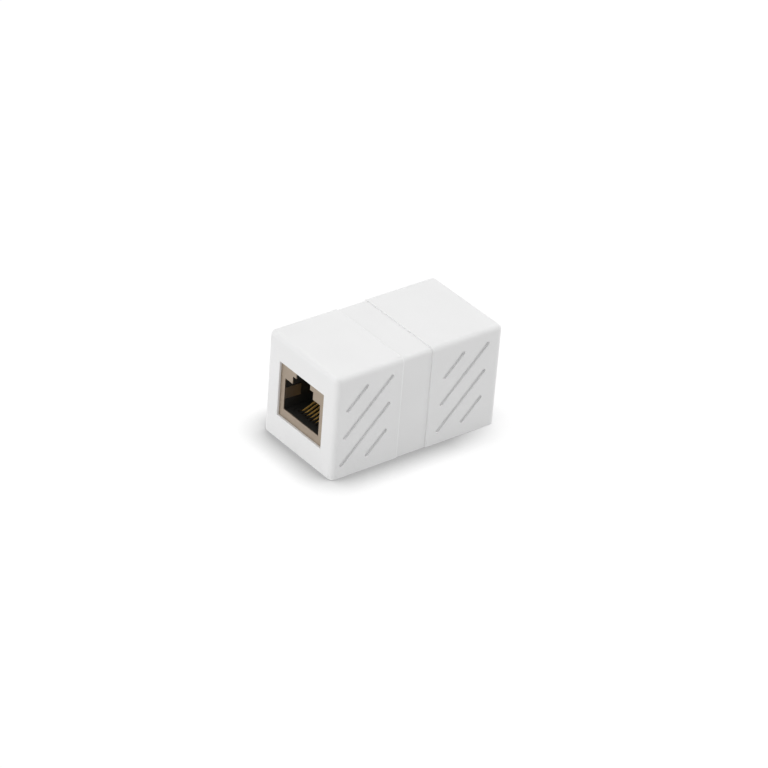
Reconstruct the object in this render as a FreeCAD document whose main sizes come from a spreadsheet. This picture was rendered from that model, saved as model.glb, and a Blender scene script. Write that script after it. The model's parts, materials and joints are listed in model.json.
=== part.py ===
import FreeCAD, Part
import math
import os
import Sketcher
from FreeCAD import Placement, Rotation, Vector

# A shielded RJ45 inline coupler: two socket jacks back to back on one board, in a two-part moulded housing.
#
# The whole coupler's frame: X runs along it, from the front socket (-X) to the rear one (+X), Z is up, and
# the origin is in the middle of the foot. The shells and the jacks' pieces are drawn in the frame of their
# own end: X runs inward from that end's face, and their Placement puts that end in the whole.

SIZES = (
    # Housing
    ("body_length", 42.6, "end face to end face"),
    ("body_width", 23.6, "side to side"),
    ("body_height", 24.0, "foot to top"),
    ("front_length", 24.2, "front end face to the parting line"),
    ("parting_gap", 0.01, "open joint between the two shells"),
    ("wall", 1.8, "sides, top and foot"),
    ("end_wall", 1.8, "wall round the socket's mouth"),
    ("corner_radius", 1.3, "upright edges of an end face"),
    ("top_radius", 1.1, "edges of the top"),
    ("foot_radius", 0.2, "edges of the foot"),
    ("rim_radius", 0.15, "rear shell's edge at the parting line"),
    ("band_length", 7.6, "recessed band round the middle, up to the parting line"),
    ("band_depth", 0.22, "how far the band is recessed, on the sides and the top"),
    ("band_slope", 0.35, "slanted step down to the band"),
    ("mouth_width", 15.1, "opening that shows the jack"),
    ("mouth_height", 12.8, "opening that shows the jack"),
    ("mouth_radius", 0.15, "outer edge of the opening"),
    ("lip", 0.5, "thin edge that the jack's face stops against"),
    # Grip grooves
    ("groove_width", 1.0, "across a groove"),
    ("groove_depth", 0.55, "into the side"),
    ("groove_angle", 45.0, "lean of the grooves, in degrees"),
    ("groove_spacing", 4.25, "from groove to groove, square to them"),
    ("groove_stagger", 2.42, "how far the upper and lower pairs slide apart"),
    ("long_groove", 16.6, "end to end"),
    ("short_groove", 7.15, "end to end"),
    ("front_groove_middle", 8.2, "front end face to the middle of the grooves"),
    ("rear_groove_middle", 9.7, "rear end face to the middle of the grooves"),
    # Lap joint between the shells
    ("tongue_length", 2.5, "how far the front shell reaches into the rear one"),
    ("tongue_thickness", 0.8, "wall of the tongue"),
    ("lap_clearance", 0.1, "round the tongue and its catches"),
    ("catch_setback", 0.7, "root of the tongue to its catch"),
    ("catch_length", 1.2, "along the tongue"),
    ("catch_height", 0.3, "out from the tongue"),
    ("catch_width", 8.0, "up the side"),
    # Rails and ribs inside the shells
    ("rail_width", 1.2, "ledge under the board's edge"),
    ("rib_thickness", 1.2, "ribs that hold the jack and the board"),
    ("rib_reach", 13.0, "end face to the inner end of the top ribs"),
    ("top_rib_spacing", 10.0, "between the two top ribs"),
    ("side_rib_near", 5.0, "end face to the first side rib"),
    ("side_rib_far", 12.0, "end face to the second side rib"),
    ("side_rib_height", 11.0, "up from the board"),
    # Circuit board
    ("board_thickness", 1.6, ""),
    ("board_clearance", 0.2, "to the shells, all round"),
    ("pin_hole", 0.8, "diameter"),
    ("peg_hole", 2.7, "diameter"),
    ("tab_hole", 1.7, "diameter"),
    # Jack: shield and housing
    ("jack_width", 16.0, "over the shield"),
    ("jack_height", 13.5, "over the shield"),
    ("jack_depth", 18.0, "over the shield"),
    ("jack_middle", 12.0, "height of the jack's middle above the foot"),
    ("jack_clearance", 0.1, "to the shells' seat and ribs"),
    ("sheet", 0.25, "shield's sheet metal"),
    ("shield_clearance", 0.05, "between the shield and the housing"),
    ("cavity_width", 12.0, "room for the plug"),
    ("cavity_height", 7.35, "room for the plug"),
    ("cavity_depth", 13.5, "jack's face to the plug's stop"),
    ("cavity_lift", 2.45, "jack's underside to the cavity's floor"),
    ("step_width", 7.0, "keyway for the base of the plug's latch"),
    ("step_height", 1.75, "keyway for the base of the plug's latch"),
    ("latch_width", 4.7, "keyway for the latch's lever"),
    ("spring_length", 4.0, "shield's spring finger, in from the jack's face"),
    ("spring_width", 2.6, "shield's spring finger, up the cavity's side"),
    ("spring_bend", 0.25, "how far its end stands into the cavity"),
    ("spring_relief", 0.4, "room behind it in the housing"),
    ("tab_length", 1.4, "shield's solder tab, along the jack"),
    ("front_tab", 4.0, "jack's face to the first tab's middle"),
    ("rear_tab", 13.5, "jack's face to the second tab's middle"),
    ("peg_diameter", 2.6, ""),
    ("peg_spacing", 12.4, "between the two pegs"),
    ("peg_setback", 8.8, "jack's face to the pegs"),
    # Contacts and their carrier
    ("carrier_width", 9.4, "recess in the housing for the carrier"),
    ("carrier_setback", 1.5, "jack's face to the recess"),
    ("carrier_height", 7.6, "rear block, up from the board"),
    ("carrier_clearance", 0.05, "between the carrier and the housing"),
    ("contact_pitch", 1.02, "from contact to contact"),
    ("contact_width", 0.35, "across the jack"),
    ("contact_thickness", 0.3, ""),
    ("contact_run", 1.0, "board to the middle of the wire in its slot"),
    ("contact_front", 2.6, "jack's face to the middle of the front bend"),
    ("contact_tip", 10.5, "jack's face to the free end"),
    ("contact_rise", 22.0, "lean of the free length, in degrees"),
    ("front_bend", 0.45, "radius of the wire's middle"),
    ("pin_bend", 0.4, "radius of the wire's middle"),
    ("slot_width", 0.45, "carrier's slot for one contact"),
    ("slot_clearance", 0.1, "ahead of and behind the wire"),
    ("first_pin_row", 15.0, "jack's face to the odd contacts' pins"),
    ("second_pin_row", 16.78, "jack's face to the even contacts' pins"),
    ("pin_reach", 1.0, "how far pins and tabs stand out below the board"),
)
CONTACTS = 8
ENDS = ("front", "rear")
TOLERANCE = 1e-4

# Places, each an expression on the sheet. Those along X are in an end's own frame.
HALF_WIDTH = "(dim.body_width / 2)"
INNER_HALF_WIDTH = f"({HALF_WIDTH} - dim.wall)"
INNER_TOP = "(dim.body_height - dim.wall)"
JACK_BOTTOM = "(dim.jack_middle - dim.jack_height / 2)"
JACK_TOP = "(dim.jack_middle + dim.jack_height / 2)"
JACK_HALF_WIDTH = "(dim.jack_width / 2)"
JACK_FACE = "dim.lip"
JACK_BACK = f"({JACK_FACE} + dim.jack_depth)"
BOARD_BOTTOM = f"({JACK_BOTTOM} - dim.board_thickness)"
PIN_BOTTOM = f"({BOARD_BOTTOM} - dim.pin_reach)"
SHEET_AND_GAP = "(dim.sheet + dim.shield_clearance)"
HOUSING_FRONT = f"({JACK_FACE} + {SHEET_AND_GAP})"
HOUSING_BACK = f"({JACK_BACK} - {SHEET_AND_GAP})"
HOUSING_HALF_WIDTH = f"({JACK_HALF_WIDTH} - {SHEET_AND_GAP})"
HOUSING_TOP = f"({JACK_TOP} - {SHEET_AND_GAP})"
CAVITY_FLOOR = f"({JACK_BOTTOM} + dim.cavity_lift)"
CAVITY_BACK = f"({JACK_FACE} + dim.cavity_depth)"
CARRIER_HALF_WIDTH = "(dim.carrier_width / 2)"
CARRIER_FRONT = f"({JACK_FACE} + dim.carrier_setback)"
CARRIER_TOP = f"({JACK_BOTTOM} + dim.carrier_height)"
CONTACT_RUN = f"({JACK_BOTTOM} + dim.contact_run)"
CONTACT_FRONT = f"({JACK_FACE} + dim.contact_front)"
TONGUE_OUTSIDE = "(dim.wall - dim.tongue_thickness)"
FRONT_RIM = "(dim.front_length - dim.parting_gap)"
REAR_RIM = "(dim.body_length - dim.front_length)"

doc = FreeCAD.newDocument("InlineCoupler")
sheet = doc.addObject("Spreadsheet::Sheet", "dim")


def fill_sheet():
    """Write the driving dimensions: name, value and meaning in a row each."""
    for row, (alias, value, meaning) in enumerate(SIZES, 1):
        sheet.set(f"A{row}", alias)
        sheet.set(f"B{row}", str(value))
        sheet.set(f"C{row}", meaning)
        sheet.setAlias(f"B{row}", alias)
    doc.recompute()


def value_of(expression):
    return float(sheet.evalExpression(expression))


def new_body(label, end=None):
    """A sub-part. One that belongs to an end is placed there, facing out."""
    body = doc.addObject("PartDesign::Body", label)
    body.Label = label
    if end == "front":
        body.setExpression("Placement.Base.x", "-dim.body_length / 2")
    if end == "rear":
        body.Placement = Placement(Vector(0, 0, 0), Rotation(Vector(0, 0, 1), 180))
        body.setExpression("Placement.Base.x", "dim.body_length / 2")
    return body


def origin_feature(body, role):
    return next(feature for feature in body.Origin.OriginFeatures if feature.Role == role)


def attach(feature, body, role, offset):
    """Lay a feature on one of its body's planes, moved by three expressions."""
    feature.AttachmentSupport = [(origin_feature(body, role), "")]
    feature.MapMode = "FlatFace"
    for axis, expression in zip("xyz", offset):
        if expression != "0":
            feature.setExpression(f"AttachmentOffset.Base.{axis}", expression)


def new_sketch(body, name, role, offset=("0", "0", "0")):
    sketch = body.newObject("Sketcher::SketchObject", name)
    attach(sketch, body, role, offset)
    return sketch


def bind(sketch, kind, places, expression):
    """Add one dimension to a sketch and tie it to the sheet."""
    index = sketch.addConstraint(Sketcher.Constraint(kind, *places, value_of(expression)))
    sketch.setExpression(f"Constraints[{index}]", expression)


def bind_point(sketch, geometry, point, x, y):
    """Hold a point of a sketch at two expressions, measured from the sketch's origin."""
    for kind, expression, axis in (("DistanceX", x, -2), ("DistanceY", y, -1)):
        if expression == "0":
            sketch.addConstraint(Sketcher.Constraint("PointOnObject", geometry, point, axis))
        else:
            bind(sketch, kind, (-1, 1, geometry, point), expression)


def add_outline(sketch, points):
    """A closed run of straight lines through points that are pairs of expressions."""
    corners = [Vector(value_of(x), value_of(y), 0) for x, y in points]
    first = sketch.GeometryCount
    count = len(corners)
    for index in range(count):
        line = Part.LineSegment(corners[index], corners[(index + 1) % count])
        sketch.addGeometry(line, False)
    for index in range(count):
        following = first + (index + 1) % count
        sketch.addConstraint(Sketcher.Constraint("Coincident", first + index, 2, following, 1))
    for index, (x, y) in enumerate(points):
        bind_point(sketch, first + index, 1, x, y)


def add_rectangle(sketch, low_x, high_x, low_y, high_y):
    add_outline(sketch, ((low_x, low_y), (high_x, low_y), (high_x, high_y), (low_x, high_y)))


def add_circle(sketch, x, y, diameter):
    centre = Vector(value_of(x), value_of(y), 0)
    circle = Part.Circle(centre, Vector(0, 0, 1), value_of(diameter) / 2)
    index = sketch.addGeometry(circle, False)
    bind_point(sketch, index, 3, x, y)
    bind(sketch, "Diameter", (index,), diameter)


def add_arc(sketch, x, y, radius, start, end):
    """An arc, in degrees anticlockwise. What it is joined to settles its final place and size."""
    circle = Part.Circle(Vector(x, y, 0), Vector(0, 0, 1), radius)
    return sketch.addGeometry(Part.ArcOfCircle(circle, math.radians(start), math.radians(end)), False)


def add_line(sketch, start, end):
    return sketch.addGeometry(Part.LineSegment(Vector(*start, 0), Vector(*end, 0)), False)


def join(sketch, first, first_end, second, second_end):
    """Let two pieces of a sketch run smoothly into each other."""
    sketch.addConstraint(Sketcher.Constraint("Tangent", first, first_end, second, second_end))


def add_slot(sketch, middle, y, length, width):
    """A round-ended groove along the sketch's X."""
    radius = f"({width} / 2)"
    reach = f"({length} / 2 - {radius})"
    low, high, level = value_of(f"{middle} - {reach}"), value_of(f"{middle} + {reach}"), value_of(y)
    half = value_of(radius)
    lower = add_line(sketch, (low, level - half), (high, level - half))
    far = add_arc(sketch, high, level, half, 270, 450)
    upper = add_line(sketch, (high, level + half), (low, level + half))
    near = add_arc(sketch, low, level, half, 90, 270)
    join(sketch, lower, 2, far, 1)
    join(sketch, far, 2, upper, 1)
    join(sketch, upper, 2, near, 1)
    join(sketch, near, 2, lower, 1)
    bind(sketch, "Radius", (far,), radius)
    bind_point(sketch, far, 3, f"{middle} + {reach}", y)
    bind_point(sketch, near, 3, f"{middle} - {reach}", y)


def add_section(sketch, inset="0"):
    """The housing's section, round-cornered and standing on its foot, set in at its sides and its top."""
    edges = {"side": f"({HALF_WIDTH} - {inset})", "roof": f"(dim.body_height - {inset})",
             "upper": f"(dim.top_radius - {inset})", "lower": "dim.foot_radius"}
    side, roof, upper, lower = (value_of(edge) for edge in edges.values())
    pieces = [
        add_line(sketch, (lower - side, 0), (side - lower, 0)),
        add_arc(sketch, side - lower, lower, lower, 270, 360),
        add_line(sketch, (side, lower), (side, roof - upper)),
        add_arc(sketch, side - upper, roof - upper, upper, 0, 90),
        add_line(sketch, (side - upper, roof), (upper - side, roof)),
        add_arc(sketch, upper - side, roof - upper, upper, 90, 180),
        add_line(sketch, (-side, roof - upper), (-side, lower)),
        add_arc(sketch, lower - side, lower, lower, 180, 270),
    ]
    for piece, following in zip(pieces, pieces[1:] + pieces[:1]):
        join(sketch, piece, 2, following, 1)
    foot, lower_right, right, upper_right, top, upper_left, left, lower_left = pieces
    for line, lie in ((foot, "Horizontal"), (right, "Vertical"), (top, "Horizontal"), (left, "Vertical")):
        sketch.addConstraint(Sketcher.Constraint(lie, line))
    for arc, radius in ((lower_right, "lower"), (upper_right, "upper"), (upper_left, "upper"),
                        (lower_left, "lower")):
        bind(sketch, "Radius", (arc,), edges[radius])
    sketch.addConstraint(Sketcher.Constraint("PointOnObject", foot, 1, -1))
    bind(sketch, "DistanceX", (-1, 1, right, 1), edges["side"])
    bind(sketch, "DistanceX", (left, 1, -1, 1), edges["side"])
    bind(sketch, "DistanceY", (-1, 1, top, 1), edges["roof"])


def extrude(body, kind, name, sketch, length=None, symmetric=False, reverse=False):
    """A Pad or a Pocket. With no length, a Pocket cuts through everything on its side."""
    before = body.Shape.Volume if body.Shape.Solids else 0
    feature = body.newObject(f"PartDesign::{kind}", name)
    feature.Profile = sketch
    feature.Reversed = reverse
    if symmetric:
        feature.SideType = "Symmetric"
    if length:
        feature.setExpression("Length", length)
    else:
        feature.Type = "ThroughAll"
    doc.recompute()
    check_change(body, name, kind == "Pad", before)
    return feature


def block(body, kind, name, x, y, z):
    """A square-edged box added to the body, or cut from it, between pairs of expressions."""
    before = body.Shape.Volume if body.Shape.Solids else 0
    feature = body.newObject(f"PartDesign::{kind}Box", name)
    attach(feature, body, "XY_Plane", (x[0], y[0], z[0]))
    for side, (low, high) in zip(("Length", "Width", "Height"), (x, y, z)):
        feature.setExpression(side, f"{high} - ({low})")
    doc.recompute()
    check_change(body, name, kind == "Additive", before)
    return feature


def check_change(body, name, grows, before):
    """A feature that points the wrong way changes nothing, so each one has to change the volume."""
    change = body.Shape.Volume - before
    if change * (1 if grows else -1) <= 0:
        raise RuntimeError(f"{body.Label}: {name} changed the volume by {change:.4f}")


def mirror_across(body, name, feature):
    """Repeat a feature on the other side of the body's XZ plane."""
    mirrored = body.newObject("PartDesign::Mirrored", name)
    mirrored.Originals = [feature]
    mirrored.MirrorPlane = (origin_feature(body, "XZ_Plane"), [""])
    body.Tip = mirrored
    doc.recompute()


def lies_at(edge, axis, level):
    """Whether an edge lies wholly at one level along an axis (0, 1 or 2)."""
    middle = (edge.FirstParameter + edge.LastParameter) / 2
    places = [edge.valueAt(at) for at in (edge.FirstParameter, middle, edge.LastParameter)]
    return all(abs(place[axis] - level) < TOLERANCE for place in places)


def round_edges(body, name, radius, chosen):
    """Round the edges of the body that pass a test."""
    base = body.Tip
    names = [f"Edge{index}" for index, edge in enumerate(base.Shape.Edges, 1) if chosen(edge)]
    fillet = body.newObject("PartDesign::Fillet", name)
    fillet.Base = (base, names)
    fillet.setExpression("Radius", radius)
    doc.recompute()


def shell_block(body, length):
    """The solid block of a shell, with all its outer edges rounded but those at its inner end."""
    sketch = new_sketch(body, "block_outline", "YZ_Plane")
    add_rectangle(sketch, f"-{HALF_WIDTH}", HALF_WIDTH, "0", "dim.body_height")
    extrude(body, "Pad", "block", sketch, length)
    height, far = value_of("dim.body_height"), value_of(length)
    round_edges(body, "corner_edges", "dim.corner_radius",
                lambda edge: lies_at(edge, 0, 0) and edge.BoundBox.ZLength > height / 2)
    round_edges(body, "top_edges", "dim.top_radius",
                lambda edge: lies_at(edge, 2, height) and not lies_at(edge, 0, far))
    round_edges(body, "foot_edges", "dim.foot_radius",
                lambda edge: lies_at(edge, 2, 0) and not lies_at(edge, 0, far))


def grip_grooves(body, middle, lean):
    """Two long and two short grooves on a side, staggered about their middle, and the same opposite."""
    sketch = new_sketch(body, "grooves", "XZ_Plane", (middle, "dim.body_height / 2", HALF_WIDTH))
    sketch.AttachmentOffset = Placement(Vector(0, 0, 0), Rotation(Vector(0, 0, 1), lean * 45))
    sketch.setExpression("AttachmentOffset.Rotation.Angle", f"{lean} * dim.groove_angle")
    for place, length in ((0.5, "dim.long_groove"), (1.5, "dim.short_groove")):
        for side in (1, -1):
            slide = f"({side * lean} * dim.groove_stagger)"
            level = f"({side * place} * dim.groove_spacing)"
            add_slot(sketch, slide, level, length, "dim.groove_width")
    pocket = extrude(body, "Pocket", "groove_cut", sketch, "dim.groove_depth")
    mirror_across(body, "opposite_grooves", pocket)


def hollow_out(body, rim):
    """The room inside a shell, the mouth in its end wall and the seat behind the mouth's lip."""
    sketch = new_sketch(body, "room", "YZ_Plane", ("0", "0", rim))
    add_rectangle(sketch, f"-{INNER_HALF_WIDTH}", INNER_HALF_WIDTH, "dim.wall", INNER_TOP)
    extrude(body, "Pocket", "room_cut", sketch, f"{rim} - dim.end_wall")

    sketch = new_sketch(body, "mouth", "YZ_Plane", ("0", "0", "dim.end_wall"))
    add_rectangle(sketch, "-dim.mouth_width / 2", "dim.mouth_width / 2",
                  "dim.jack_middle - dim.mouth_height / 2", "dim.jack_middle + dim.mouth_height / 2")
    extrude(body, "Pocket", "mouth_cut", sketch)
    reach = value_of("dim.mouth_width")
    round_edges(body, "mouth_edges", "dim.mouth_radius",
                lambda edge: lies_at(edge, 0, 0) and edge.BoundBox.YLength <= reach + TOLERANCE
                and abs(edge.CenterOfMass.y) <= reach / 2 + TOLERANCE)

    sketch = new_sketch(body, "seat", "YZ_Plane", ("0", "0", "dim.end_wall"))
    side = f"({JACK_HALF_WIDTH} + dim.jack_clearance)"
    add_rectangle(sketch, f"-{side}", side,
                  f"{JACK_BOTTOM} - dim.jack_clearance", f"{JACK_TOP} + dim.jack_clearance")
    extrude(body, "Pocket", "seat_cut", sketch, "dim.end_wall - dim.lip")


def rails_and_ribs(body, reach):
    """Rails under the board, and ribs that hold the board down and the jack in place."""
    rail_edge = f"({INNER_HALF_WIDTH} - dim.rail_width)"
    jack_side = f"({JACK_HALF_WIDTH} + dim.jack_clearance)"
    over_board = f"({JACK_BOTTOM} + dim.jack_clearance)"
    over_jack = f"({JACK_TOP} + dim.jack_clearance)"
    half_rib = "dim.rib_thickness / 2"
    for side, turn in (("left", 1), ("right", -1)):
        def across(low, high):
            return (low, high) if turn > 0 else (f"-({high})", f"-({low})")

        block(body, "Additive", f"{side}_rail", ("dim.end_wall", reach),
              across(rail_edge, INNER_HALF_WIDTH), ("dim.wall", BOARD_BOTTOM))
        block(body, "Additive", f"{side}_top_rib", ("dim.end_wall", "dim.rib_reach"),
              across(f"(dim.top_rib_spacing / 2 - {half_rib})", f"(dim.top_rib_spacing / 2 + {half_rib})"),
              (over_jack, INNER_TOP))
        for place in ("near", "far"):
            block(body, "Additive", f"{side}_{place}_rib",
                  (f"dim.side_rib_{place} - {half_rib}", f"dim.side_rib_{place} + {half_rib}"),
                  across(jack_side, INNER_HALF_WIDTH), (over_board, f"{over_board} + dim.side_rib_height"))


def add_band(body):
    """The recessed band up to the parting line, with the slanted step down to it from the full section."""
    start = "(dim.front_length - dim.band_length)"
    step_end = f"({start} + dim.band_slope)"
    full = new_sketch(body, "full_section", "YZ_Plane", ("0", "0", start))
    add_section(full)
    recessed = new_sketch(body, "band_section", "YZ_Plane", ("0", "0", step_end))
    add_section(recessed, "dim.band_depth")
    step = body.newObject("PartDesign::AdditiveLoft", "step")
    step.Profile = full
    step.Sections = [recessed]
    step.Ruled = True
    doc.recompute()
    extrude(body, "Pad", "band", recessed, f"{FRONT_RIM} - {step_end}")


def make_front_shell():
    """The longer shell, with the recessed band and the tongue that reaches into the rear shell."""
    body = new_body("front_shell", "front")
    shell_block(body, "(dim.front_length - dim.band_length)")
    add_band(body)
    grip_grooves(body, "dim.front_groove_middle", 1)
    hollow_out(body, FRONT_RIM)
    rails_and_ribs(body, FRONT_RIM)

    sketch = new_sketch(body, "tongue_outline", "YZ_Plane", ("0", "0", FRONT_RIM))
    outer_side = f"({HALF_WIDTH} - {TONGUE_OUTSIDE})"
    add_rectangle(sketch, f"-{outer_side}", outer_side, TONGUE_OUTSIDE, f"dim.body_height - {TONGUE_OUTSIDE}")
    add_rectangle(sketch, f"-{INNER_HALF_WIDTH}", INNER_HALF_WIDTH, "dim.wall", INNER_TOP)
    extrude(body, "Pad", "tongue", sketch, "dim.tongue_length")

    catch_foot = f"({FRONT_RIM} + dim.catch_setback)"
    sketch = new_sketch(body, "catch_outline", "XY_Plane", ("0", "0", "dim.body_height / 2"))
    add_outline(sketch, ((catch_foot, outer_side), (f"{catch_foot} + dim.catch_length", outer_side),
                         (catch_foot, f"{outer_side} + dim.catch_height")))
    catch = extrude(body, "Pad", "catch", sketch, "dim.catch_width", symmetric=True)
    mirror_across(body, "opposite_catch", catch)


def make_rear_shell():
    """The shorter shell, rebated inside its rim for the front shell's tongue and catches."""
    body = new_body("rear_shell", "rear")
    shell_block(body, REAR_RIM)
    far = value_of(REAR_RIM)
    round_edges(body, "rim_edges", "dim.rim_radius", lambda edge: lies_at(edge, 0, far))
    grip_grooves(body, "dim.rear_groove_middle", -1)
    hollow_out(body, REAR_RIM)

    tongue_end = f"(dim.body_length - {FRONT_RIM} - dim.tongue_length - dim.lap_clearance)"
    rails_and_ribs(body, tongue_end)

    sketch = new_sketch(body, "rebate", "YZ_Plane", ("0", "0", REAR_RIM))
    outside = f"({TONGUE_OUTSIDE} - dim.lap_clearance)"
    side = f"({HALF_WIDTH} - {outside})"
    add_rectangle(sketch, f"-{side}", side, outside, f"dim.body_height - {outside}")
    extrude(body, "Pocket", "rebate_cut", sketch, f"{REAR_RIM} - {tongue_end}")

    catch_foot = f"(dim.body_length - {FRONT_RIM} - dim.catch_setback)"
    catch_side = f"({HALF_WIDTH} - {TONGUE_OUTSIDE} + dim.catch_height + dim.lap_clearance)"
    half_catch = "(dim.catch_width / 2 + dim.lap_clearance)"
    block(body, "Subtractive", "catch_recess",
          (f"{catch_foot} - dim.catch_length - dim.lap_clearance", f"{catch_foot} + dim.lap_clearance"),
          (f"-{catch_side}", catch_side),
          (f"dim.body_height / 2 - {half_catch}", f"dim.body_height / 2 + {half_catch}"))


def contact_place(number):
    """Across the jack, from its middle, for contacts counted from 1."""
    return f"({number - (CONTACTS + 1) / 2} * dim.contact_pitch)"


def pin_row(number):
    """Along the jack. Neighbouring contacts' pins stand in two rows, so that their pads have room."""
    row = "first" if number % 2 else "second"
    return f"({JACK_FACE} + dim.{row}_pin_row)"


def make_board():
    """The board, with a hole for every pin, peg and tab of both jacks."""
    body = new_body("circuit_board")
    sketch = new_sketch(body, "board_outline", "XY_Plane", ("0", "0", BOARD_BOTTOM))
    half_length = "(dim.body_length / 2 - dim.end_wall - dim.board_clearance)"
    half_width = f"({INNER_HALF_WIDTH} - dim.board_clearance)"
    add_rectangle(sketch, f"-{half_length}", half_length, f"-{half_width}", half_width)
    extrude(body, "Pad", "board", sketch, "dim.board_thickness")

    tab_side = f"({JACK_HALF_WIDTH} - dim.sheet / 2)"
    holes = [(pin_row(number), contact_place(number), "dim.pin_hole") for number in range(1, CONTACTS + 1)]
    for side in (1, -1):
        holes.append((f"({JACK_FACE} + dim.peg_setback)", f"({side} * dim.peg_spacing / 2)", "dim.peg_hole"))
        for tab in ("dim.front_tab", "dim.rear_tab"):
            holes.append((f"({JACK_FACE} + {tab})", f"({side} * {tab_side})", "dim.tab_hole"))
    sketch = new_sketch(body, "holes", "XY_Plane", ("0", "0", JACK_BOTTOM))
    for turn in (1, -1):
        for along, across, diameter in holes:
            add_circle(sketch, f"{turn} * ({along} - dim.body_length / 2)", f"{turn} * {across}", diameter)
    extrude(body, "Pocket", "hole_cut", sketch)


def add_socket_outline(sketch, top):
    """The plug's cavity with the two steps of its latch keyway above, up to a given level."""
    cavity, step, latch = "dim.cavity_width / 2", "dim.step_width / 2", "dim.latch_width / 2"
    ceiling = f"({CAVITY_FLOOR} + dim.cavity_height)"
    shoulder = f"({ceiling} + dim.step_height)"
    right = ((cavity, CAVITY_FLOOR), (cavity, ceiling), (step, ceiling), (step, shoulder),
             (latch, shoulder), (latch, top))
    left = tuple((f"-{side}", level) for side, level in reversed(right))
    add_outline(sketch, right + left)


def spring_levels(clearance):
    """Foot and top of a shield's spring finger beside the plug, with room round it."""
    middle = f"({CAVITY_FLOOR} + dim.cavity_height / 2)"
    reach = f"dim.spring_width / 2 + {clearance}"
    return f"({middle} - ({reach}))", f"({middle} + {reach})"


def make_shield(end):
    """Sheet folded round the housing, open below, with the socket cut in its face.

    A spring finger on each side of the socket reaches in to touch the plug's shield, and four tabs go
    through the board.
    """
    body = new_body(f"{end}_jack_shield", end)
    outside = (f"-{JACK_HALF_WIDTH}", JACK_HALF_WIDTH)
    block(body, "Additive", "outside", (JACK_FACE, JACK_BACK), outside, (JACK_BOTTOM, JACK_TOP))
    inner_side = f"({JACK_HALF_WIDTH} - dim.sheet)"
    block(body, "Subtractive", "inside", (f"{JACK_FACE} + dim.sheet", f"{JACK_BACK} - dim.sheet"),
          (f"-{inner_side}", inner_side), (JACK_BOTTOM, f"{JACK_TOP} - dim.sheet"))
    sketch = new_sketch(body, "socket", "YZ_Plane", ("0", "0", f"{JACK_FACE} + dim.sheet"))
    add_socket_outline(sketch, f"({JACK_TOP} - dim.sheet)")
    extrude(body, "Pocket", "socket_cut", sketch)
    foot, top = spring_levels("0")
    side, tip = "(dim.cavity_width / 2)", f"({JACK_FACE} + dim.spring_length)"
    tip_side = f"({side} - dim.spring_bend)"
    sketch = new_sketch(body, "spring_outline", "XY_Plane", ("0", "0", foot))
    add_outline(sketch, ((JACK_FACE, side), (tip, tip_side), (tip, f"{tip_side} + dim.sheet"),
                         (JACK_FACE, f"{side} + dim.sheet")))
    spring = extrude(body, "Pad", "spring", sketch, f"{top} - {foot}")
    mirror_across(body, "opposite_spring", spring)
    for name, tab in (("front", "dim.front_tab"), ("rear", "dim.rear_tab")):
        middle = f"{JACK_FACE} + {tab}"
        along = (f"{middle} - dim.tab_length / 2", f"{middle} + dim.tab_length / 2")
        levels = (PIN_BOTTOM, JACK_BOTTOM)
        block(body, "Additive", f"left_{name}_tab", along, (inner_side, JACK_HALF_WIDTH), levels)
        block(body, "Additive", f"right_{name}_tab", along, (f"-{JACK_HALF_WIDTH}", f"-{inner_side}"), levels)


def make_housing(end):
    """The jack's moulded body: plug cavity in front, recess for the carrier below and behind, two pegs.

    Shallow pockets in the cavity's sides leave the shield's spring fingers room to flex.
    """
    body = new_body(f"{end}_jack_housing", end)
    block(body, "Additive", "moulding", (HOUSING_FRONT, HOUSING_BACK),
          (f"-{HOUSING_HALF_WIDTH}", HOUSING_HALF_WIDTH), (JACK_BOTTOM, HOUSING_TOP))
    sketch = new_sketch(body, "socket", "YZ_Plane", ("0", "0", CAVITY_BACK))
    add_socket_outline(sketch, JACK_TOP)
    extrude(body, "Pocket", "socket_cut", sketch)
    across = (f"-{CARRIER_HALF_WIDTH}", CARRIER_HALF_WIDTH)
    block(body, "Subtractive", "floor_recess", (CARRIER_FRONT, HOUSING_BACK), across,
          (JACK_BOTTOM, CAVITY_FLOOR))
    block(body, "Subtractive", "rear_recess", (CAVITY_BACK, HOUSING_BACK), across,
          (JACK_BOTTOM, CARRIER_TOP))
    relief = "(dim.cavity_width / 2 + dim.spring_relief)"
    block(body, "Subtractive", "spring_reliefs",
          (HOUSING_FRONT, f"{JACK_FACE} + dim.spring_length + dim.shield_clearance"),
          (f"-{relief}", relief), spring_levels("dim.shield_clearance"))
    sketch = new_sketch(body, "pegs", "XY_Plane", ("0", "0", JACK_BOTTOM))
    for side in (1, -1):
        across = f"{side} * dim.peg_spacing / 2"
        add_circle(sketch, f"{JACK_FACE} + dim.peg_setback", across, "dim.peg_diameter")
    extrude(body, "Pad", "peg", sketch, "dim.board_thickness", reverse=True)


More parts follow.
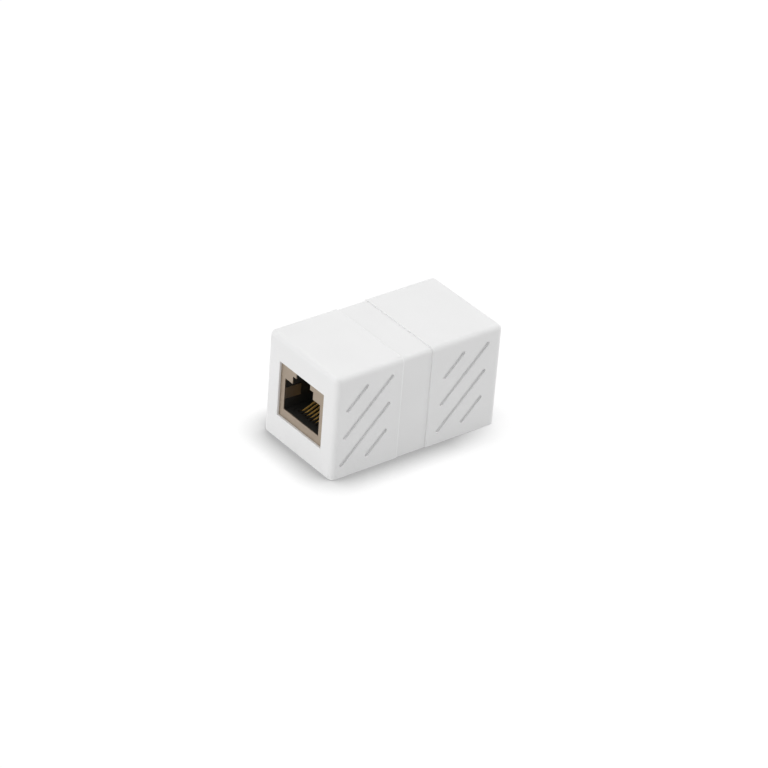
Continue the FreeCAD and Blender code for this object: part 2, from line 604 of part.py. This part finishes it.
def cut_contact_slots(body, name, number):
    """One open slot, with its tunnel and its pin's way down, and its three like ones of the same row."""
    pin = pin_row(number)
    bend_start = f"({pin} - dim.pin_bend)"
    half_wire = "dim.contact_thickness / 2"
    room = f"({half_wire} + dim.slot_clearance)"
    slot_floor = f"({CONTACT_RUN} - {half_wire})"
    slot_front = f"({CONTACT_FRONT} - dim.front_bend - {room})"
    tunnel_top = f"({CONTACT_RUN} + {room})"
    block_front = f"({CAVITY_BACK} + dim.carrier_clearance)"
    sketch = new_sketch(body, f"{name}_outline", "XZ_Plane", ("0", "0", f"-{contact_place(number)}"))
    add_outline(sketch, (
        (slot_front, CAVITY_FLOOR), (slot_front, slot_floor), (bend_start, slot_floor),
        (bend_start, JACK_BOTTOM), (f"{pin} + {room}", JACK_BOTTOM), (f"{pin} + {room}", tunnel_top),
        (block_front, tunnel_top), (block_front, CAVITY_FLOOR)))
    pocket = extrude(body, "Pocket", name, sketch, "dim.slot_width", symmetric=True)
    pattern = body.newObject("PartDesign::LinearPattern", f"{name}_row")
    pattern.Originals = [pocket]
    pattern.Direction = (origin_feature(body, "Y_Axis"), [""])
    pattern.Occurrences = CONTACTS // 2
    pattern.setExpression("Length", f"2 * dim.contact_pitch * {CONTACTS // 2 - 1}")
    body.Tip = pattern
    doc.recompute()


def make_carrier(end):
    """The insert that holds a jack's contacts: a floor under the plug and a block behind it."""
    body = new_body(f"{end}_contact_carrier", end)
    front = f"{CARRIER_FRONT} + dim.carrier_clearance"
    block_front = f"{CAVITY_BACK} + dim.carrier_clearance"
    block_top = f"{CARRIER_TOP} - dim.carrier_clearance"
    sketch = new_sketch(body, "side_outline", "XZ_Plane")
    add_outline(sketch, ((front, JACK_BOTTOM), (HOUSING_BACK, JACK_BOTTOM), (HOUSING_BACK, block_top),
                         (block_front, block_top), (block_front, CAVITY_FLOOR), (front, CAVITY_FLOOR)))
    extrude(body, "Pad", "moulding", sketch, "dim.carrier_width - 2 * dim.carrier_clearance", symmetric=True)
    cut_contact_slots(body, "first_slots", 1)
    cut_contact_slots(body, "second_slots", 2)


def make_contact(end, number):
    """One wire: up from the board, forward in its slot, round the front bend and back up into the cavity."""
    body = new_body(f"{end}_contact_{number}", end)
    across = contact_place(number)
    pin, foot, run = pin_row(number), PIN_BOTTOM, CONTACT_RUN
    pin_x, foot_z, run_z = value_of(pin), value_of(foot), value_of(run)
    front_x, tip_x = value_of(CONTACT_FRONT), value_of(f"{JACK_FACE} + dim.contact_tip")
    small, large, rise = value_of("dim.pin_bend"), value_of("dim.front_bend"), value_of("dim.contact_rise")
    lift_x = front_x - large * math.sin(math.radians(rise))
    lift_z = run_z + large + large * math.cos(math.radians(rise))
    tip_z = lift_z + (tip_x - lift_x) * math.tan(math.radians(rise))

    path = new_sketch(body, "path", "XZ_Plane", ("0", "0", f"-{across}"))
    upright = add_line(path, (pin_x, foot_z), (pin_x, run_z - small))
    pin_bend = add_arc(path, pin_x - small, run_z - small, small, 0, 90)
    forward = add_line(path, (pin_x - small, run_z), (front_x, run_z))
    front_bend = add_arc(path, front_x, run_z + large, large, 90 + rise, 270)
    free = add_line(path, (lift_x, lift_z), (tip_x, tip_z))
    join(path, upright, 2, pin_bend, 1)
    join(path, pin_bend, 2, forward, 1)
    join(path, forward, 2, front_bend, 2)
    join(path, front_bend, 1, free, 1)
    path.addConstraint(Sketcher.Constraint("Vertical", upright))
    path.addConstraint(Sketcher.Constraint("Horizontal", forward))
    bind(path, "Radius", (pin_bend,), "dim.pin_bend")
    bind(path, "Radius", (front_bend,), "dim.front_bend")
    bind_point(path, upright, 1, pin, foot)
    bind(path, "DistanceY", (-1, 1, forward, 1), run)
    bind(path, "DistanceX", (-1, 1, front_bend, 3), CONTACT_FRONT)
    bind(path, "DistanceX", (-1, 1, free, 2), f"{JACK_FACE} + dim.contact_tip")
    angle = path.addConstraint(Sketcher.Constraint("Angle", free, math.radians(rise)))
    path.setExpression(f"Constraints[{angle}]", "dim.contact_rise")

    section = new_sketch(body, "section", "XY_Plane", (pin, across, foot))
    add_rectangle(section, "-dim.contact_thickness / 2", "dim.contact_thickness / 2",
                  "-dim.contact_width / 2", "dim.contact_width / 2")
    doc.recompute()
    wire = body.newObject("PartDesign::AdditivePipe", "wire")
    wire.Profile = section
    wire.Spine = path
    doc.recompute()


def make_parts():
    make_front_shell()
    make_rear_shell()
    make_board()
    for end in ENDS:
        make_shield(end)
        make_housing(end)
        make_carrier(end)
        for number in range(1, CONTACTS + 1):
            make_contact(end, number)


def check_document():
    """Stop if any object failed or any sub-part isn't one sound solid."""
    for item in doc.Objects:
        if "Invalid" in item.State or "Error" in item.State:
            raise RuntimeError(f"{item.Label} is {item.State}")
    for body in doc.findObjects("PartDesign::Body"):
        if body.Shape.isNull() or not body.Shape.isValid() or len(body.Shape.Solids) != 1:
            raise RuntimeError(f"{body.Label} isn't one valid solid")


def write_parts():
    os.makedirs("parts", exist_ok=True)
    for body in doc.findObjects("PartDesign::Body"):
        body.Shape.exportStep(f"parts/{body.Label}.step")
        print(f"{body.Label}: {body.Shape.Volume:.2f} mm3")


fill_sheet()
make_parts()
doc.recompute()
check_document()
write_parts()
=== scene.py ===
import json
import math
from collections import namedtuple

import bpy
from mathutils import Matrix, Vector


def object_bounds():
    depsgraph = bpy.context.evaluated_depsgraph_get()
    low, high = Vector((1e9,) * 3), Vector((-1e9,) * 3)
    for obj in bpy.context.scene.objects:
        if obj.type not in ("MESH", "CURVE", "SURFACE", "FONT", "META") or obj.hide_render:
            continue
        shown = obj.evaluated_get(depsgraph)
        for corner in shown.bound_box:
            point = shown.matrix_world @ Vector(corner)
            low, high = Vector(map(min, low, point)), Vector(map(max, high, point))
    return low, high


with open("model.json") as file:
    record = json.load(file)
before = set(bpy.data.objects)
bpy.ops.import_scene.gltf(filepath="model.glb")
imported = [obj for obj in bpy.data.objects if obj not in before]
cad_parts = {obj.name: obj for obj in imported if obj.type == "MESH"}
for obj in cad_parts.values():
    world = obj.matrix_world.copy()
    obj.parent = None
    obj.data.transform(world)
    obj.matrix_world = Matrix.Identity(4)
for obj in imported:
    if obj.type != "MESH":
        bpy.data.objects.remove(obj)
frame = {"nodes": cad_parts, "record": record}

# The coupler lies along X on the floor at Z = 0, with its front socket at -X. Lengths are in metres.
CAD_LOW, CAD_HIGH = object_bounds()
HEIGHT = CAD_HIGH.z

# Camera: its angle round and above the coupler and its roll, and how far its aim lies from the coupler's
# middle, in heights of the coupler. Lens and sensor are in millimetres.
CAMERA_AZIMUTH = math.radians(-39.506)
CAMERA_ELEVATION = math.radians(31.814)
CAMERA_ROLL = math.radians(4.578)
CAMERA_DISTANCE = 0.7149
CAMERA_LENS = 162.3
CAMERA_SENSOR = 36
CAMERA_NEAREST = 0.01
CAMERA_FURTHEST = 10
AIM_RIGHT = 0.006
AIM_UP = -0.0635

# Light, as the brightness that it gives a white surface that faces it. A sun has the direction it comes
# from, and whether it shows in reflections: the low one would glare on the top.
SKY = 0.52
SUN_SOFTNESS = math.radians(40)
Sun = namedtuple("Sun", "name brightness direction reflected", defaults=(True,))
SUNS = (
    Sun("overhead", 0.08, (0, 0, 1)),
    Sun("from_right", 0.28, (1, -0.37, 0.62)),
    Sun("from_behind", 0.2, (0.1, 0.68, 1)),
    Sun("from_socket_end", 0.36, (-1, 0.1, 0.15), reflected=False),
)

# Floor: the camera sees white, less a painted shadow that deepens as the coupler closes a place in, plus a
# small share of what the lamps light. Other rays meet a plain pale floor.
WHITE = (1, 1, 1, 1)
FLOOR_HALF = 0.6
FLOOR_ROUGHNESS = 0.9
FLOOR_BOUNCE = 0.8
FLOOR_WHITE = 1.04
LIT_SHARE = 0.15
SHADOW_REACH = 0.0072
SHADOW_SAMPLES = 16
SHADOW_DARKEST = 0.57
# The painted shadow's depth eases off along X, towards the rear socket.
DEPTH_AT_FRONT = 1.23
DEPTH_AT_REAR = 0.369
EASE_FROM = 0.0085
EASE_TO = 0.02

# Noise keeps near its middle, so this part of its range is what a finish spreads out.
NOISE_LOW = 0.3
NOISE_HIGH = 0.7

# A grain is noise whose blotches are about one size across. A stretch above 1 makes them finer along that
# axis, and below 1 longer.
Grain = namedtuple("Grain", "size detail stretch", defaults=(2, (1, 1, 1)))

# A finish has two colours in display levels, 0 to 255, a range of roughness and a relief, each with the
# grain that it varies by.
Finish = namedtuple(
    "Finish",
    "name colours colour_grain roughness roughness_grain relief relief_grain metallic specular",
    defaults=(0.0, 0.5),
)
FINISHES = {
    # Moulded ABS: nearly flat white, with a fine satin grain.
    "white_shell": Finish(
        "white_abs",
        colours=((238, 238, 238), (241, 241, 241)), colour_grain=Grain(0.012),
        roughness=(0.46, 0.54), roughness_grain=Grain(0.003, 3),
        relief=0.000004, relief_grain=Grain(0.00025, 3),
        specular=0.3,
    ),
    # Dull nickel plating over level rolling marks.
    "nickel_shield": Finish(
        "nickel_sheet",
        colours=((167, 153, 138), (173, 159, 143)), colour_grain=Grain(0.0015, 3),
        roughness=(0.42, 0.5), roughness_grain=Grain(0.0008, 3, (1, 1, 6)),
        relief=0.000002, relief_grain=Grain(0.0003, 2, (1, 1, 8)),
        metallic=1.0,
    ),
    # Glass-filled black moulding.
    "black_moulding": Finish(
        "black_moulding",
        colours=((34, 33, 31), (42, 41, 38)), colour_grain=Grain(0.0015, 3),
        roughness=(0.45, 0.6), roughness_grain=Grain(0.0008, 3),
        relief=0.000008, relief_grain=Grain(0.0002, 3),
    ),
    # Green lacquer over the board's woven glass.
    "green_board": Finish(
        "solder_mask",
        colours=((24, 92, 48), (32, 108, 58)), colour_grain=Grain(0.0012, 3),
        roughness=(0.26, 0.36), roughness_grain=Grain(0.0006),
        relief=0.00001, relief_grain=Grain(0.0004, 1),
    ),
    # Gold plating over wire that was drawn lengthwise.
    "gold_contact": Finish(
        "gold_plating",
        colours=((240, 192, 104), (246, 204, 118)), colour_grain=Grain(0.0008),
        roughness=(0.32, 0.4), roughness_grain=Grain(0.0006, 2, (0.2, 1, 1)),
        relief=0.000001, relief_grain=Grain(0.0004, 1, (0.2, 1, 1)),
        metallic=0.6,
    ),
}


def grey(share):
    """A grey that sends back this share of the light."""
    return share, share, share, 1.0


def linear(level):
    """One display level, 0 to 255, as the linear number that a shader takes."""
    share = level / 255
    return share / 12.92 if share <= 0.04045 else ((share + 0.055) / 1.055) ** 2.4


def colour(levels):
    """A colour in display levels as the one that a shader takes."""
    return (*(linear(level) for level in levels), 1.0)


class Tree:
    """The nodes of a material or of the world, with short ways to add to them."""

    def __init__(self, owner):
        owner.use_nodes = True
        self.nodes = owner.node_tree.nodes
        self.links = owner.node_tree.links

    def feed(self, node, values):
        """Set a node's inputs, or link them where the value is another node's output."""
        for name, value in values.items():
            if isinstance(value, bpy.types.NodeSocket):
                self.links.new(value, node.inputs[name])
            else:
                node.inputs[name].default_value = value

    def add(self, kind, output, values, **settings):
        """Add a node, and return the output that is named."""
        node = self.nodes.new("ShaderNode" + kind)
        for name, value in settings.items():
            setattr(node, name, value)
        self.feed(node, values)
        return node.outputs[output]

    def calculate(self, operation, first, second):
        return self.add("Math", "Value", {0: first, 1: second}, operation=operation)

    def rescale(self, value, source, target):
        """Carry a number from one range to another, held within its ends."""
        return self.add("MapRange", "Result", {
            "Value": value,
            "From Min": source[0], "From Max": source[1],
            "To Min": target[0], "To Max": target[1],
        })

    def mix_colours(self, factor, first, second):
        return self.add("Mix", "Result", {"Factor": factor, "A": first, "B": second}, data_type="RGBA")

    def place(self):
        """Where a point of the surface is, in its object's own coordinates."""
        return self.add("TexCoord", "Object", {})

    def noise(self, grain):
        """Noise fixed to the object, with the blotches of a grain."""
        stretched = self.add("Mapping", "Vector", {"Vector": self.place(), "Scale": grain.stretch})
        values = {"Vector": stretched, "Scale": 1 / grain.size, "Detail": grain.detail}
        return self.add("TexNoise", "Fac", values)

    def vary(self, grain, low, high):
        """A number that wanders between two ends with the grain."""
        return self.rescale(self.noise(grain), (NOISE_LOW, NOISE_HIGH), (low, high))

    def seen_directly(self):
        """1 for what the camera sees, straight on or by way of metal or glass, and 0 for spread light."""
        rays = self.nodes.new("ShaderNodeLightPath").outputs
        mirrored = self.calculate("MAXIMUM", rays["Is Glossy Ray"], rays["Is Transmission Ray"])
        return self.calculate("MAXIMUM", rays["Is Camera Ray"], mirrored)


def make_material(finish):
    """A material whose colour, roughness and relief all vary over the surface."""
    material = bpy.data.materials.new(finish.name)
    tree = Tree(material)
    first, second = finish.colours
    relief = {"Strength": 1.0, "Distance": finish.relief, "Height": tree.noise(finish.relief_grain)}
    tree.feed(tree.nodes["Principled BSDF"], {
        "Base Color": tree.mix_colours(tree.vary(finish.colour_grain, 0, 1), colour(first), colour(second)),
        "Roughness": tree.vary(finish.roughness_grain, *finish.roughness),
        "Normal": tree.add("Bump", "Normal", relief),
        "Metallic": finish.metallic,
        "Specular IOR Level": finish.specular,
    })
    return material


def dress_nodes():
    """Give each CAD node its finish by its material slot."""
    materials = {slot: make_material(finish) for slot, finish in FINISHES.items()}
    for entry in frame["record"]["subparts"]:
        mesh = frame["nodes"][entry["node"]].data
        mesh.materials.clear()
        mesh.materials.append(materials[entry["material_slot"]])


def lay_floor():
    """A pale floor that shows white, with a painted shadow that is darker where the coupler closes it in.
    """
    bpy.ops.mesh.primitive_plane_add(size=2 * FLOOR_HALF)
    floor = bpy.context.object
    floor.name = "floor"
    material = bpy.data.materials.new("floor")
    tree = Tree(material)

    # Painted shadow: ambient occlusion, eased along X, dims the glow that the camera sees; no lamp casts
    # it.
    open_share = tree.add("AmbientOcclusion", "AO", {"Distance": SHADOW_REACH}, samples=SHADOW_SAMPLES)
    covered = tree.calculate("SUBTRACT", 1.0, open_share)
    along = tree.add("SeparateXYZ", "X", {"Vector": tree.place()})
    depth = tree.rescale(along, (EASE_FROM, EASE_TO), (DEPTH_AT_FRONT, DEPTH_AT_REAR))
    painted_shadow = tree.calculate("MINIMUM", tree.calculate("MULTIPLY", covered, depth), SHADOW_DARKEST)
    white = tree.calculate("SUBTRACT", FLOOR_WHITE - LIT_SHARE, painted_shadow)
    seen = tree.seen_directly()

    tree.feed(tree.nodes["Principled BSDF"], {
        "Base Color": tree.mix_colours(seen, grey(FLOOR_BOUNCE), grey(LIT_SHARE)),
        "Roughness": FLOOR_ROUGHNESS,
        "Specular IOR Level": 0.0,
        "Emission Color": WHITE,
        "Emission Strength": tree.calculate("MULTIPLY", seen, white),
    })
    floor.data.materials.append(material)


def light_sky():
    """Even light from all round, which the camera sees as white."""
    world = bpy.data.worlds.new("sky")
    bpy.context.scene.world = world
    tree = Tree(world)
    strength = tree.rescale(tree.seen_directly(), (0.0, 1.0), (SKY, 1.0))
    tree.feed(tree.nodes["Background"], {"Color": WHITE, "Strength": strength})


def light_suns():
    """Broad soft lights, from far off."""
    for sun in SUNS:
        lamp = bpy.data.lights.new(sun.name, "SUN")
        lamp.energy = sun.brightness * math.pi
        lamp.angle = SUN_SOFTNESS
        light = bpy.data.objects.new(sun.name, lamp)
        bpy.context.collection.objects.link(light)
        light.rotation_mode = "QUATERNION"
        light.rotation_quaternion = Vector(sun.direction).to_track_quat("Z", "Y")
        light.visible_glossy = sun.reflected


def add_camera():
    """A view of the front socket and the long side, from above, slightly rolled."""
    azimuth, elevation = CAMERA_AZIMUTH, CAMERA_ELEVATION
    back = Vector((math.sin(azimuth) * math.cos(elevation), -math.cos(azimuth) * math.cos(elevation),
                   math.sin(elevation)))
    level = Vector((math.cos(azimuth), math.sin(azimuth), 0))
    upright = back.cross(level)
    right = math.cos(CAMERA_ROLL) * level + math.sin(CAMERA_ROLL) * upright
    up = math.cos(CAMERA_ROLL) * upright - math.sin(CAMERA_ROLL) * level
    aim = Vector((0, 0, HEIGHT / 2)) + HEIGHT * (AIM_RIGHT * right + AIM_UP * up)

    data = bpy.data.cameras.new("camera")
    data.lens = CAMERA_LENS
    data.sensor_width = CAMERA_SENSOR
    data.clip_start = CAMERA_NEAREST
    data.clip_end = CAMERA_FURTHEST
    camera = bpy.data.objects.new("camera", data)
    bpy.context.collection.objects.link(camera)
    turn = Matrix((right, up, back)).transposed()
    camera.matrix_world = Matrix.Translation(aim + back * CAMERA_DISTANCE) @ turn.to_4x4()
    bpy.context.scene.camera = camera


dress_nodes()
lay_floor()
light_sky()
light_suns()
add_camera()
bpy.context.scene.view_settings.view_transform = "Standard"
